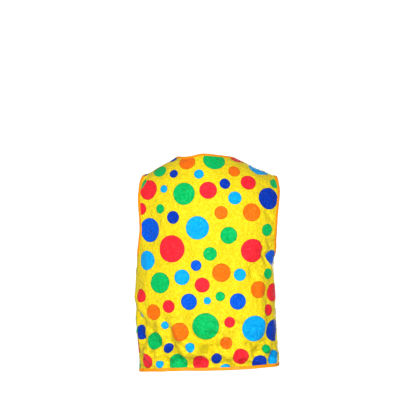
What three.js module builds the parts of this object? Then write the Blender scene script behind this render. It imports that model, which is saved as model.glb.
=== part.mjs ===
// A clown's waistcoat, filled out as it hangs on a wearer: a satin back, two satin fronts that hang
// open, and bias tape folded over every raw edge.
// Millimetres. X runs to the wearer's left, Y to the back, Z up. The origin lies between the two
// neck points, at the height where the shoulders carry the cloth.
import * as THREE from 'three';

// Cloth and tape
const clothWall = 1.5;
const tapeWall = 1.0;
const tapeWidth = 8.5;
const seamGap = 0.3;
const tapeGap = 0.3;

// General figure: how full the level sections and the rolls over the shoulders are (2 is an ellipse).
// The back slopes away to the left and stands flatter to the right
const sectionFullness = 2.4;
const backFullness = { left: 1.7, right: 2.7 };
const shoulderFullness = 2.05;
const bladeHeight = -205;
const ridgeDepth = -8;

// Shoulder ridge: a soft roof over the neck that falls away to both sides, and the neck opening
const roofTop = 25;
const roofCentre = 20;
const roofSoftness = 20;
const shoulderSlope = { left: 0.57, right: 0.46 };
const shoulderLevel = -60;
const neckMiddleRound = 2.4;
const neckHalfRound = 21.6;
const napeClimb = 0.687;
const neckTilt = 0.075;

// How many cells the grids have
const bodyRows = 17;
const backArmRows = 10;
const frontArmRows = 15;
const neckCells = 5;
const shoulderCells = 8;

// How the armhole's steps crowd at the underarm, and how late the shoulder seams bend the rows
const armCrowding = 1.3;
const topReach = 1.5;

// Each table has named columns, one row for each section or point.
function table(columns, ...rows) {
  return { rows: rows.map((row) => Object.fromEntries(columns.map((name, i) => [name, row[i]]))) };
}

// Level sections of the figure. Above the blades left and right go on, and the depths close over
// the shoulders instead
const sections = table(
  ['height', 'left', 'right', 'back', 'front'],
  [-655, 209, 208, 100, 106],
  [-612, 212, 210, 107, 109],
  [-565, 214, 206, 111, 111],
  [-505, 218, 201, 110, 113],
  [-430, 223, 199, 106, 115],
  [-370, 220.5, 197, 107, 117],
  [-303, 215, 196, 112, 120],
  [-270, 215, 203, 116, 121],
  [-240, 216, 208.5, 119, 122],
  [-205, 219, 215, 121, 122],
  [-150, 224.5, 221.5, 121, 122],
  [-60, 225, 224, 121, 122],
);

// Hem heights: centre back, both sides, centre front, and how far it lifts halfway to each side
const hemHeights = { back: -634.5, left: -651.5, right: -632, front: -631 };
const hemLift = { left: 0, right: 4 };

// Side seams: degrees round the figure from the centre back, by climb from the hem
const sideSeams = table(
  ['climb', 'left', 'right'],
  [-1.0, 71, 77],
  [-0.85, 72, 73],
  [-0.68, 83, 80],
  [-0.5, 90, 88],
  [-0.226, 90, 90],
);
const underarmClimb = -0.226;

// Armhole, from the underarm up the back and up the front to the shoulder ridge at climb 1
const armholeBack = table(
  ['climb', 'left', 'right'],
  [-0.226, 90, 90],
  [-0.212, 82, 82],
  [-0.18, 75, 75],
  [-0.1, 68.5, 67],
  [0.0, 64.5, 63],
  [0.25, 64.3, 63.2],
  [0.48, 63.2, 64.2],
  [0.7, 60.6, 61.8],
  [1.0, 56.5, 59.5],
);
const armholeFront = table(
  ['climb', 'left', 'right'],
  [-0.226, 90, 90],
  [-0.212, 81, 81],
  [-0.175, 73, 73],
  [-0.09, 66, 65],
  [0.0, 62.5, 61],
  [0.25, 60, 59],
  [0.5, 59, 59],
  [0.75, 58, 59.5],
  [1.0, 56.5, 59.5],
);

// Front edge and neckline of the fronts: degrees from the centre front, by climb
const frontEdges = table(
  ['climb', 'left', 'right'],
  [-1.0, 8.2, 8.2],
  [-0.6, 6.6, 6.6],
  [-0.226, 4.9, 4.9],
  [-0.12, 4.6, 4.5],
  [-0.03, 7.0, 6.5],
  [0.12, 11.8, 10.6],
  [0.28, 16.0, 14.0],
  [0.46, 19.6, 16.8],
  [0.65, 22.2, 18.6],
  [1.0, 24.0, 19.2],
);

// Shoulder seams: they leave the ridge towards the armhole and end this far down the back
const seamDrop = { left: 0.52, right: 0.38 };
const seamBend = 3.2;

// Largest folds, as soft ridges (depth above 0) and troughs: both ends in degrees round the
// figure and millimetres of height, the width of the fold and its depth
const folds = table(
  ['face', 'fromRound', 'fromHeight', 'toRound', 'toHeight', 'width', 'depth'],
  ['back', 56, -485, 12, -650, 20, -6],
  ['back', 62, -545, 36, -655, 16, 5],
  ['back', 36, -500, -2, -640, 20, 5],
  ['back', 18, -560, -8, -655, 20, -6],
  ['back', -34, -530, -46, -655, 18, -6],
  ['back', -50, -440, -38, -640, 20, 5],
  ['back', -44, -290, -36, -405, 17, -4],
  ['back', -66, -262, -50, -345, 13, -4],
  ['back', 74, -330, 52, -400, 22, 4],
  ['front', 72, -330, 44, -450, 22, -5],
  ['front', 60, -400, 30, -560, 24, 5],
  ['front', 70, -500, 38, -645, 20, -6],
  ['front', -72, -330, -46, -460, 22, -5],
  ['front', -58, -420, -28, -580, 24, 5],
  ['front', -66, -520, -44, -645, 20, -5],
);

const degrees = Math.PI / 180;
const lerp = THREE.MathUtils.lerp;
const sideOf = (round) => (round < 0 ? 'right' : 'left');

// A smooth curve through a table's points: y at x, with slopes taken from the neighbours
function curve(source, xName, yName) {
  const xs = source.rows.map((row) => row[xName]);
  const ys = source.rows.map((row) => row[yName]);
  const last = xs.length - 1;
  const slope = (i) => {
    const a = Math.max(i - 1, 0);
    const b = Math.min(i + 1, last);
    return (ys[b] - ys[a]) / (xs[b] - xs[a]);
  };
  return (x) => {
    const inside = THREE.MathUtils.clamp(x, xs[0], xs[last]);
    let i = 0;
    while (i < last - 1 && inside > xs[i + 1]) i++;
    const span = xs[i + 1] - xs[i];
    const t = (inside - xs[i]) / span;
    const rest = 1 - t;
    return ys[i] * rest * rest * (1 + 2 * t) + ys[i + 1] * t * t * (3 - 2 * t)
      + span * t * rest * (slope(i) * rest - slope(i + 1) * t);
  };
}

const sectionSize = Object.fromEntries(
  ['left', 'right', 'back', 'front'].map((name) => [name, curve(sections, 'height', name)]),
);
const bySide = (source) => ({
  left: curve(source, 'climb', 'left'),
  right: curve(source, 'climb', 'right'),
});
const sideSeamRound = bySide(sideSeams);
const armholeRound = { back: bySide(armholeBack), front: bySide(armholeFront) };
const frontEdgeRound = bySide(frontEdges);

// The sine and cosine of a circle, swollen towards a square by the fullness
function swollen(angle, fullness) {
  const s = Math.sin(angle);
  const c = Math.cos(angle);
  const r = (Math.abs(s) ** fullness + Math.abs(c) ** fullness) ** (-1 / fullness);
  return [s * r, c * r];
}

function ridgeHeight(x) {
  const reach = x - roofCentre;
  const slope = shoulderSlope[reach > 0 ? 'left' : 'right'];
  return roofTop - slope * (Math.hypot(reach, roofSoftness) - roofSoftness);
}

function hemHeight(face, round) {
  const turn = Math.abs(round) * degrees;
  const side = sideOf(round);
  return lerp(hemHeights[face], hemHeights[side], Math.sin(turn) ** 2) + hemLift[side] * Math.sin(2 * turn);
}

// A point of the figure. round: degrees from the middle of that face, plus to the wearer's left.
// climb: -1 at the hem, 0 at the blades, 1 on the shoulder ridge. Past 90 degrees or past the
// ridge the point lies on the other face.
function figure(face, round, climb) {
  const other = face === 'back' ? 'front' : 'back';
  if (climb > 1) return figure(other, round, 2 - climb);
  if (Math.abs(round) > 90) return figure(other, Math.sign(round) * (180 - Math.abs(round)), climb);
  const side = sideOf(round);
  const [across, frontDeep] = swollen(Math.abs(round) * degrees, sectionFullness);
  const fullness = backFullness[side];
  const backDeep = Math.max(1 - across ** fullness, 0) ** (1 / fullness);
  const level = climb < 0
    ? lerp(bladeHeight, hemHeight(face, round), -climb)
    : lerp(bladeHeight, shoulderLevel, climb);
  const point = new THREE.Vector3(
    sectionSize[side](level) * across * Math.sign(round),
    face === 'back' ? sectionSize.back(level) * backDeep : -sectionSize.front(level) * frontDeep,
    level,
  );
  if (climb > 0) {
    const [up, out] = swollen(climb * 90 * degrees, shoulderFullness);
    point.y = lerp(ridgeDepth, point.y, out);
    point.z = lerp(bladeHeight, ridgeHeight(point.x), up);
  }
  return point;
}

// The climb that a height has on a face, in the body below the blades
function climbAt(face, round, height) {
  return -(bladeHeight - height) / (bladeHeight - hemHeight(face, round));
}

// Each fold is a short line traced on the figure; a point rises or sinks by its distance from it
const foldSteps = 6;
const foldLines = folds.rows.map((fold) => ({
  ...fold,
  points: Array.from({ length: foldSteps + 1 }, (_, i) => {
    const round = lerp(fold.fromRound, fold.toRound, i / foldSteps);
    const height = lerp(fold.fromHeight, fold.toHeight, i / foldSteps);
    return figure(fold.face, round, climbAt(fold.face, round, height));
  }),
}));

function foldRise(point) {
  let rise = 0;
  const nearest = new THREE.Vector3();
  for (const fold of foldLines) {
    let away = Infinity;
    let along = 0;
    for (let i = 0; i < foldSteps; i++) {
      const line = new THREE.Line3(fold.points[i], fold.points[i + 1]);
      const t = line.closestPointToPointParameter(point, true);
      const distance = line.at(t, nearest).distanceTo(point);
      if (distance < away) {
        away = distance;
        along = (i + t) / foldSteps;
      }
    }
    rise += fold.depth * Math.exp(-((away / fold.width) ** 2)) * Math.sin(Math.PI * lerp(0.12, 0.88, along));
  }
  return rise;
}

// How a surface changes with round and climb at a place, and its outward normal
const roundStep = 0.4;
const climbStep = 0.004;
function skin(surface, face, [round, climb]) {
  const change = (dRound, dClimb) => surface(face, round + dRound, climb + dClimb)
    .sub(surface(face, round - dRound, climb - dClimb));
  const byRound = change(roundStep, 0).divideScalar(2 * roundStep);
  const byClimb = change(0, climbStep).divideScalar(2 * climbStep);
  const normal = byRound.clone().cross(byClimb).normalize();
  if (face === 'back') normal.negate();
  return { byRound, byClimb, normal };
}

// The figure with the folds in its cloth
function cloth(face, round, climb) {
  const point = figure(face, round, climb);
  return point.addScaledVector(skin(figure, face, [round, climb]).normal, foldRise(point));
}

// Moves a line of places sideways by a distance, square to the line, over the figure. The step in
// millimetres is shared out between round and climb by least squares.
function moveLine(face, line, distance) {
  return line.map((place, i) => {
    const ahead = figure(face, ...line[Math.min(i + 1, line.length - 1)]);
    const along = ahead.sub(figure(face, ...line[Math.max(i - 1, 0)]));
    const { byRound, byClimb, normal } = skin(figure, face, place);
    const step = along.cross(normal).setLength(distance);
    const rr = byRound.lengthSq();
    const cc = byClimb.lengthSq();
    const rc = byRound.dot(byClimb);
    const r = step.dot(byRound);
    const c = step.dot(byClimb);
    const scale = rr * cc - rc * rc;
    return [place[0] + (r * cc - c * rc) / scale, place[1] + (c * rr - r * rc) / scale];
  });
}

// A panel's grid of places on the figure, filled in between its four edges. The top edge's shape
// only reaches down to the underarm.
function fillGrid(face, bottom, top, right, left) {
  const rows = right.length;
  const columns = bottom.length;
  const grid = [];
  for (let i = 0; i < rows; i++) {
    const v = Math.max((i - bodyRows) / (rows - 1 - bodyRows), 0) ** topReach;
    const row = [];
    for (let j = 0; j < columns; j++) {
      const u = j / (columns - 1);
      const mix = (k) => (1 - v) * bottom[j][k] + v * top[j][k] + (1 - u) * right[i][k] + u * left[i][k]
        - (1 - u) * (1 - v) * bottom[0][k] - u * (1 - v) * bottom[columns - 1][k]
        - (1 - u) * v * top[0][k] - u * v * top[columns - 1][k];
      row.push([mix(0), mix(1)]);
    }
    grid.push(row);
  }
  return { face, grid };
}

const placeBetween = (a, b, share) => [lerp(a[0], b[0], share), lerp(a[1], b[1], share)];

// The place at the tape's width from one place towards the next, but never past its larger part
const largestShare = 0.6;
function tapeEndPlace(face, place, next) {
  const length = figure(face, ...place).distanceTo(figure(face, ...next));
  return placeBetween(place, next, Math.min(tapeWidth / length, largestShare));
}

// Adds a column of places where the tape ends, between column j and column j + step
function addColumn(panel, j, step) {
  for (const row of panel.grid) {
    row.splice(step > 0 ? j + 1 : j, 0, tapeEndPlace(panel.face, row[j], row[j + step]));
  }
}

// Adds a row of places where the tape ends, between row i and row i + step
function addRow(panel, i, step) {
  const line = panel.grid[i].map((place, j) => tapeEndPlace(panel.face, place, panel.grid[i + step][j]));
  panel.grid.splice(step > 0 ? i + 1 : i, 0, line);
}

// Two rows end together where the armhole's tape meets the side seam: elsewhere the lower of them
// is moved to halfway between its neighbours
function spreadRow(panel, i) {
  const below = panel.grid[i - 1];
  const above = panel.grid[i + 1];
  const last = below.length - 1;
  panel.grid[i] = panel.grid[i].map((place, j) => {
    const endsAtTape = j === last || (j === 0 && panel.face === 'back');
    return endsAtTape ? place : placeBetween(below[j], above[j], 0.5);
  });
}

// Numbers in even steps
const evenly = (count, from, to) => Array.from({ length: count + 1 }, (_, i) => lerp(from, to, i / count));

// A line of places resampled in steps that are even on the figure, or crowd towards its start;
// it can stop a little short of its end
function evenSteps(face, places, count, crowding = 1, short = 0) {
  const points = places.map((place) => figure(face, ...place));
  const lengths = [0];
  for (let i = 1; i < points.length; i++) lengths.push(lengths[i - 1] + points[i].distanceTo(points[i - 1]));
  return evenly(count, 0, 1).map((share) => {
    const wanted = (lengths.at(-1) - short) * share ** crowding;
    let i = 0;
    while (i < lengths.length - 2 && wanted > lengths[i + 1]) i++;
    return placeBetween(places[i], places[i + 1], (wanted - lengths[i]) / (lengths[i + 1] - lengths[i]));
  });
}

// Points along an edge before it is resampled
const fine = 60;
const signOf = { left: 1, right: -1 };

// Which way a line that runs up, or out along the shoulder, moves to get into its panel
const inOf = (side, face) => signOf[side] * (face === 'back' ? 1 : -1);

// The side seam from the hem to a tape's width below the underarm, half a seam gap into the panel
function sideEdge(side, face) {
  const top = underarmClimb - tapeWidth / (bladeHeight - hemHeights[side]);
  const seam = evenly(bodyRows, -1, top).map((climb) => {
    const round = sideSeamRound[side](climb);
    return [signOf[side] * (face === 'back' ? round : 180 - round), climb];
  });
  return moveLine(face, seam, inOf(side, face) * seamGap / 2);
}

// The shoulder seam, from the neck point to the armhole
function shoulderSeam(side, face) {
  const neckRound = frontEdgeRound[side](1);
  const seam = evenly(fine, 0, 1).map((share) => {
    const climb = 1 - seamDrop[side] * share ** seamBend;
    const round = signOf[side] * lerp(neckRound, armholeRound.back[side](climb), share);
    return [round, face === 'back' ? climb : 2 - climb];
  });
  return moveLine(face, seam, -inOf(side, face) * seamGap / 2);
}

// The armhole's edge, from the underarm up to the shoulder seam
function armEdge(side, face) {
  const seamEnd = 1 - seamDrop[side];
  const onBack = (climb) => signOf[side] * armholeRound.back[side](climb);
  if (face === 'back') return evenly(2 * fine, underarmClimb, seamEnd).map((climb) => [onBack(climb), climb]);
  const onFront = (climb) => signOf[side] * armholeRound.front[side](climb);
  return [
    ...evenly(2 * fine, underarmClimb, 1).map((climb) => [onFront(climb), climb]),
    ...evenly(fine, 1, seamEnd).slice(1).map((climb) => [onBack(climb), 2 - climb]),
  ];
}

// One side of a panel. inner: the side seam, then the line where the armhole's tape ends.
// outer: the side seam, then the raw edge of the armhole. top: the shoulder seam up to the tape.
function outerSide(side, face, armRows) {
  const seam = sideEdge(side, face);
  const shoulder = shoulderSeam(side, face);
  const top = evenSteps(face, shoulder, shoulderCells, 1, tapeWidth);
  const arm = evenSteps(face, armEdge(side, face), armRows, armCrowding);
  arm[0] = [seam.at(-1)[0], underarmClimb];
  arm[armRows] = shoulder.at(-1);
  const tapeEnd = moveLine(face, arm, inOf(side, face) * tapeWidth);
  tapeEnd[0] = seam.at(-1);
  tapeEnd[armRows] = top.at(-1);
  return { inner: [...seam, ...tapeEnd], outer: [...seam, ...arm], top };
}

function backPanel() {
  const right = outerSide('right', 'back', backArmRows);
  const left = outerSide('left', 'back', backArmRows);
  const neckline = evenly(2 * neckCells, -90, 90).map((angle) => [
    neckMiddleRound + neckHalfRound * Math.sin(angle * degrees),
    1 - ((1 - napeClimb) + neckTilt * Math.sin(angle * degrees)) * Math.cos(angle * degrees),
  ]);
  const top = [...right.top.reverse(), ...neckline.slice(1, -1), ...left.top];
  const rounds = evenly(fine, right.inner[0][0], left.inner[0][0]);
  const hem = evenSteps('back', rounds.map((round) => [round, -1]), top.length - 1);
  const panel = fillGrid('back', hem, top, right.inner, left.inner);
  spreadRow(panel, bodyRows);
  panel.grid.forEach((row, i) => {
    row.unshift(right.outer[i]);
    row.push(left.outer[i]);
  });
  addColumn(panel, 1 + shoulderCells + 2 * neckCells, 1);
  addColumn(panel, 1 + shoulderCells, -1);
  addRow(panel, panel.grid.length - 1, -1);
  addRow(panel, 0, 1);
  return panel;
}

// A front is gridded from its open edge to its side seam and armhole
function frontPanel(side) {
  const sign = signOf[side];
  const place = (climb) => [sign * frontEdgeRound[side](climb), climb];
  const { inner, outer, top } = outerSide(side, 'front', frontArmRows);
  const lower = evenly(bodyRows, -1, inner[bodyRows][1]).map(place);
  const upper = evenSteps('front', evenly(fine, underarmClimb, 1).map(place), frontArmRows);
  const open = [...lower, ...upper];
  open[open.length - 1] = top[0];
  const rounds = evenly(fine, open[0][0], inner[0][0]);
  const hem = evenSteps('front', rounds.map((round) => [round, -1]), shoulderCells);
  const panel = fillGrid('front', hem, top, open, inner);
  spreadRow(panel, bodyRows);
  panel.grid.forEach((row, i) => row.push(outer[i]));
  addColumn(panel, 0, 1);
  addRow(panel, 0, 1);
  return panel;
}

function shape(panel) {
  panel.points = panel.grid.map((row) => row.map((place) => cloth(panel.face, ...place)));
  panel.normals = panel.grid.map((row) => row.map((place) => skin(cloth, panel.face, place).normal));
  return panel;
}

// A quad of the cloth is split along its shorter diagonal; skins and tape above it split alike
const isShort = (a, b, c, d) => a.distanceToSquared(c) <= b.distanceToSquared(d);
const quad = (a, b, c, d, splitAtFirst = true) => ({ corners: [a, b, c, d], splitAtFirst });

// A closed mesh from quads and triangles, with shared points merged and its faces turned out
function closedGeometry(faces) {
  const keys = new Map();
  const positions = [];
  const indexOf = (p) => {
    const key = `${p.x.toFixed(4)} ${p.y.toFixed(4)} ${p.z.toFixed(4)}`;
    if (!keys.has(key)) {
      keys.set(key, positions.length / 3);
      positions.push(p.x, p.y, p.z);
    }
    return keys.get(key);
  };
  const index = [];
  let volume = 0;
  const addTriangle = (a, b, c) => {
    const [i, j, k] = [a, b, c].map(indexOf);
    if (i === j || j === k || k === i) return;
    index.push(i, j, k);
    volume += a.dot(b.clone().cross(c)) / 6;
  };
  for (const { corners: [a, b, c, d], splitAtFirst } of faces) {
    if (splitAtFirst) {
      addTriangle(a, b, c);
      addTriangle(a, c, d);
    } else {
      addTriangle(b, c, d);
      addTriangle(b, d, a);
    }
  }
  if (volume < 0) index.reverse();
  const geometry = new THREE.BufferGeometry();
  geometry.setAttribute('position', new THREE.Float32BufferAttribute(positions, 3));
  geometry.setIndex(index);
  return geometry;
}

// A panel's wall: its outer skin, the same skin moved in by the cloth's thickness, and its edges
function panelGeometry({ points, normals }) {
  const inwards = (p, i, j) => p.clone().addScaledVector(normals[i][j], -clothWall);
  const inner = points.map((row, i) => row.map((p, j) => inwards(p, i, j)));
  const faces = [];
  const rows = points.length - 1;
  const columns = points[0].length - 1;
  for (let i = 0; i < rows; i++) {
    for (let j = 0; j < columns; j++) {
      const outerSkin = [points[i][j], points[i][j + 1], points[i + 1][j + 1], points[i + 1][j]];
      const innerSkin = [inner[i][j], inner[i + 1][j], inner[i + 1][j + 1], inner[i][j + 1]];
      const split = isShort(...outerSkin);
      faces.push(quad(...outerSkin, split), quad(...innerSkin, split));
    }
  }
  for (let i = 0; i < rows; i++) {
    faces.push(quad(points[i][0], points[i + 1][0], inner[i + 1][0], inner[i][0]));
    faces.push(quad(points[i + 1][columns], points[i][columns], inner[i][columns], inner[i + 1][columns]));
  }
  for (let j = 0; j < columns; j++) {
    faces.push(quad(points[0][j + 1], points[0][j], inner[0][j], inner[0][j + 1]));
    faces.push(quad(points[rows][j], points[rows][j + 1], inner[rows][j + 1], inner[rows][j]));
  }
  return closedGeometry(faces);
}

// One rib of the tape: a point on the raw edge and the panel's point a tape's width in from it
const rib = (panel, edge, inside) => ({
  edge: panel.points[edge[0]][edge[1]],
  edgeNormal: panel.normals[edge[0]][edge[1]],
  inside: panel.points[inside[0]][inside[1]],
  insideNormal: panel.normals[inside[0]][inside[1]],
});

// A rib where two panels meet lies halfway between theirs
function sharedRib(a, b) {
  const middle = (p, q) => p.clone().add(q).multiplyScalar(0.5);
  return {
    edge: middle(a.edge, b.edge),
    edgeNormal: a.edgeNormal,
    inside: middle(a.inside, b.inside),
    insideNormal: middle(a.insideNormal, b.insideNormal).normalize(),
  };
}

// Tape folded over a closed raw edge: a U-shaped section carried along the ribs
function tapeGeometry(ribs) {
  const count = ribs.length;
  const neighbour = (k, step) => {
    let m = k;
    while (ribs[m].edge.distanceTo(ribs[k].edge) < clothWall) m = (m + step + count) % count;
    return ribs[m].edge;
  };
  const outOf = (from, to, normal) => to.clone().sub(from).cross(normal).normalize();
  const away = ribs.map(({ edge, edgeNormal }, k) => {
    const before = outOf(neighbour(k, -1), edge, edgeNormal);
    const after = outOf(edge, neighbour(k, 1), edgeNormal);
    return before.clone().add(after).divideScalar(1 + before.dot(after));
  });
  const inwards = ribs.reduce((sum, { edge, inside }, k) => sum + away[k].dot(inside.clone().sub(edge)), 0);
  if (inwards > 0) away.forEach((direction) => direction.negate());
  const profile = ribs.map(({ edge, edgeNormal, inside, insideNormal }, k) => {
    const at = (base, normal, lift, out) => base.clone()
      .addScaledVector(normal, lift)
      .addScaledVector(away[k], out);
    const under = -clothWall - tapeGap;
    return [
      at(inside, insideNormal, tapeGap, 0),
      at(edge, edgeNormal, tapeGap, tapeGap),
      at(edge, edgeNormal, under, tapeGap),
      at(inside, insideNormal, under, 0),
      at(inside, insideNormal, under - tapeWall, 0),
      at(edge, edgeNormal, under - tapeWall, tapeGap + tapeWall),
      at(edge, edgeNormal, tapeGap + tapeWall, tapeGap + tapeWall),
      at(inside, insideNormal, tapeGap + tapeWall, 0),
    ];
  });
  const faces = [];
  profile.forEach((section, k) => {
    const next = profile[(k + 1) % count];
    const here = ribs[k];
    const there = ribs[(k + 1) % count];
    const split = isShort(here.inside, here.edge, there.edge, there.inside);
    section.forEach((p, m) => {
      const n = (m + 1) % section.length;
      faces.push(quad(p, section[n], next[n], next[m], m === 0 || m === 4 ? split : !split));
    });
  });
  return closedGeometry(faces);
}

const back = shape(backPanel());
const fronts = { left: shape(frontPanel('left')), right: shape(frontPanel('right')) };
const backRows = back.points.length - 1;
const backColumns = back.points[0].length - 1;
const frontRows = fronts.left.points.length - 1;
const frontColumns = fronts.left.points[0].length - 1;
const underarmRow = bodyRows + 2;
const neckColumns = { right: frontColumns, left: backColumns - frontColumns };

// Ribs of an armhole: up the back from the underarm, over the shoulder seam and down the front
function armholeRibs(side) {
  const front = fronts[side];
  const backEdge = side === 'left' ? backColumns : 0;
  const backInside = side === 'left' ? backColumns - 1 : 1;
  const onBack = (i) => rib(back, [i, backEdge], [i, backInside]);
  const onFront = (i) => rib(front, [i, frontColumns], [i, frontColumns - 1]);
  const ribs = [sharedRib(onBack(underarmRow), onFront(underarmRow))];
  for (let i = underarmRow + 1; i < backRows; i++) ribs.push(onBack(i));
  ribs.push(sharedRib(onBack(backRows), onFront(frontRows)));
  for (let i = frontRows - 1; i > underarmRow; i--) ribs.push(onFront(i));
  return ribs;
}

// Ribs of the outer edge of one half: along the hem, up the open front and round the neck to the nape
function outerRibs(side) {
  const front = fronts[side];
  const half = backColumns / 2;
  const towards = side === 'left' ? 1 : -1;
  const onHem = (j) => rib(back, [0, j], [1, j]);
  const onFrontHem = (j) => rib(front, [0, j], [1, j]);
  const ribs = [];
  for (let k = 0; k < half; k++) ribs.push(onHem(half + towards * k));
  ribs.push(sharedRib(onHem(half + towards * half), onFrontHem(frontColumns)));
  for (let j = frontColumns - 1; j > 0; j--) ribs.push(onFrontHem(j));
  ribs.push(rib(front, [0, 0], [1, 1]));
  for (let i = 1; i < frontRows; i++) ribs.push(rib(front, [i, 0], [i, 1]));
  const neck = neckColumns[side];
  ribs.push(sharedRib(
    rib(front, [frontRows, 0], [frontRows, 1]),
    rib(back, [backRows, neck], [backRows, neck + towards]),
  ));
  ribs.push(rib(back, [backRows, neck], [backRows - 1, neck + towards]));
  for (let j = neck; j !== half; j -= towards) ribs.push(rib(back, [backRows, j], [backRows - 1, j]));
  return ribs;
}

const satin = new THREE.MeshStandardMaterial({ color: 0xf7e21c, roughness: 0.42, metalness: 0 });
const tape = new THREE.MeshStandardMaterial({ color: 0xf59a12, roughness: 0.45, metalness: 0 });

const waistcoat = new THREE.Group();
function addPiece(name, geometry, material) {
  const mesh = new THREE.Mesh(geometry, material);
  mesh.name = name;
  waistcoat.add(mesh);
}

const nape = rib(back, [backRows, backColumns / 2], [backRows - 1, backColumns / 2]);
const outerEdge = [...outerRibs('left'), nape, ...outerRibs('right').slice(1).reverse()];

addPiece('back', panelGeometry(back), satin);
addPiece('front_left', panelGeometry(fronts.left), satin);
addPiece('front_right', panelGeometry(fronts.right), satin);
addPiece('tape_armhole_left', tapeGeometry(armholeRibs('left')), tape);
addPiece('tape_armhole_right', tapeGeometry(armholeRibs('right')), tape);
addPiece('tape_outer_edge', tapeGeometry(outerEdge), tape);

export default waistcoat;
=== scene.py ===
# Clown waistcoat in spotted satin with taped edges, in the form it has when worn, seen from the back.
# Shapes are worked out in millimetres: x to the wearer's left, y to the back, z up.
import bpy
import numpy as np
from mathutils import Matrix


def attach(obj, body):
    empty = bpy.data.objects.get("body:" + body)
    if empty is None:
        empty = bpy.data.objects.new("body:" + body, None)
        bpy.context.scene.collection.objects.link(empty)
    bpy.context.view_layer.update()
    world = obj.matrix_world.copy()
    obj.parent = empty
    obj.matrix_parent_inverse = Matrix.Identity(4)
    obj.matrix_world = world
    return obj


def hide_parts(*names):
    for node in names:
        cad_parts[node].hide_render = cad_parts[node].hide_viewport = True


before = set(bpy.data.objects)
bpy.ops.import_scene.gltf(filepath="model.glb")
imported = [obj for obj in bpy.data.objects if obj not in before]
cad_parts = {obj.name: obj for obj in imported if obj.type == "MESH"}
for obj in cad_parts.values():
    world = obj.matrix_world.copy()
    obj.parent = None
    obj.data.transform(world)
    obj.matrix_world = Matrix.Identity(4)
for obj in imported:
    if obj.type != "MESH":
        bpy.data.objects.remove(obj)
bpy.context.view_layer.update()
print("frame loaded")

mm = 0.001
cm = 10.0
randomDraws = np.random.default_rng(7)

# The same figure, seams and edges as the solids have
figureSizes = {
    "sectionFullness": 2.4,      # how square the level sections are, 2 is an ellipse
    "backLeft": 1.7,             # the back slopes away to the left and stands flatter to the right
    "backRight": 2.7,
    "shoulderFullness": 2.05,    # how square the rolls over the shoulders are
    "bladeHeight": -205,
    "shoulderLevel": -60,
    "ridgeDepth": -8,
    "roofTop": 25,
    "roofCentre": 20,
    "roofSoftness": 20,
    "slopeLeft": 0.57,
    "slopeRight": 0.46,
    "hemBack": -634.5,
    "hemFront": -631,
    "hemLeft": -651.5,
    "hemRight": -632,
    "hemLiftLeft": 0,            # how far the hem lifts halfway to each side
    "hemLiftRight": 4,
}

# height, then half widths to the left and right, then depths to the back and front
sections = np.array([
    [-655, 209, 208, 100, 106],
    [-612, 212, 210, 107, 109],
    [-565, 214, 206, 111, 111],
    [-505, 218, 201, 110, 113],
    [-430, 223, 199, 106, 115],
    [-370, 220.5, 197, 107, 117],
    [-303, 215, 196, 112, 120],
    [-270, 215, 203, 116, 121],
    [-240, 216, 208.5, 119, 122],
    [-205, 219, 215, 121, 122],
    [-150, 224.5, 221.5, 121, 122],
    [-60, 225, 224, 121, 122],
], float)

# climb (-1 hem, 0 blades, 1 shoulder ridge), then degrees from the middle on the left and right
sideSeams = np.array([
    [-1.0, 71, 77],
    [-0.85, 72, 73],
    [-0.68, 83, 80],
    [-0.5, 90, 88],
    [-0.226, 90, 90],
])
armholeBack = np.array([
    [-0.226, 90, 90],
    [-0.212, 82, 82],
    [-0.18, 75, 75],
    [-0.1, 68.5, 67],
    [0.0, 64.5, 63],
    [0.25, 64.3, 63.2],
    [0.48, 63.2, 64.2],
    [0.7, 60.6, 61.8],
    [1.0, 56.5, 59.5],
])
armholeFront = np.array([
    [-0.226, 90, 90],
    [-0.212, 81, 81],
    [-0.175, 73, 73],
    [-0.09, 66, 65],
    [0.0, 62.5, 61],
    [0.25, 60, 59],
    [0.5, 59, 59],
    [0.75, 58, 59.5],
    [1.0, 56.5, 59.5],
])
frontEdges = np.array([
    [-1.0, 8.2, 8.2],
    [-0.6, 6.6, 6.6],
    [-0.226, 4.9, 4.9],
    [-0.12, 4.6, 4.5],
    [-0.03, 7.0, 6.5],
    [0.12, 11.8, 10.6],
    [0.28, 16.0, 14.0],
    [0.46, 19.6, 16.8],
    [0.65, 22.2, 18.6],
    [1.0, 24.0, 19.2],
])
underarmClimb = -0.226
seamDrop = {"left": 0.52, "right": 0.38}
seamBend = 3.2
neckline = {"middle": 2.4, "half": 21.6, "napeClimb": 0.687, "tilt": 0.075}
leftSide = {"column": 1, "sign": 1}
rightSide = {"column": 2, "sign": -1}


# From a to b: a plus a share of their difference
def lerp(a, b, share):
    return a + (b - a) * share


# A smooth curve through a table's rows: a cubic between each two, with slopes from the neighbours
def curve(table, column, x):
    xs = table[:, 0]
    ys = table[:, column]
    order = np.arange(len(xs))
    below = np.maximum(order - 1, 0)
    above = np.minimum(order + 1, len(xs) - 1)
    slopes = (ys[above] - ys[below]) / (xs[above] - xs[below])
    inside = np.clip(x, xs[0], xs[-1])
    i = np.clip(np.searchsorted(xs, inside) - 1, 0, len(xs) - 2)
    span = xs[i + 1] - xs[i]
    t = (inside - xs[i]) / span
    rest = 1 - t
    return (ys[i] * rest ** 2 * (1 + 2 * t) + ys[i + 1] * t ** 2 * (3 - 2 * t)
            + span * t * rest * (slopes[i] * rest - slopes[i + 1] * t))


# Sine and cosine of a circle, swollen towards a square by the fullness
def swollen(angle, fullness):
    s = np.abs(np.sin(angle))
    c = np.abs(np.cos(angle))
    r = (s ** fullness + c ** fullness) ** (-1 / fullness)
    return s * r, c * r


# A soft roof: it falls away to both sides by a slope, rounded over its softness at the top
def ridgeHeight(x):
    reach = x - figureSizes["roofCentre"]
    soft = figureSizes["roofSoftness"]
    slope = np.where(reach > 0, figureSizes["slopeLeft"], figureSizes["slopeRight"])
    return figureSizes["roofTop"] - slope * (np.hypot(reach, soft) - soft)


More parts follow.
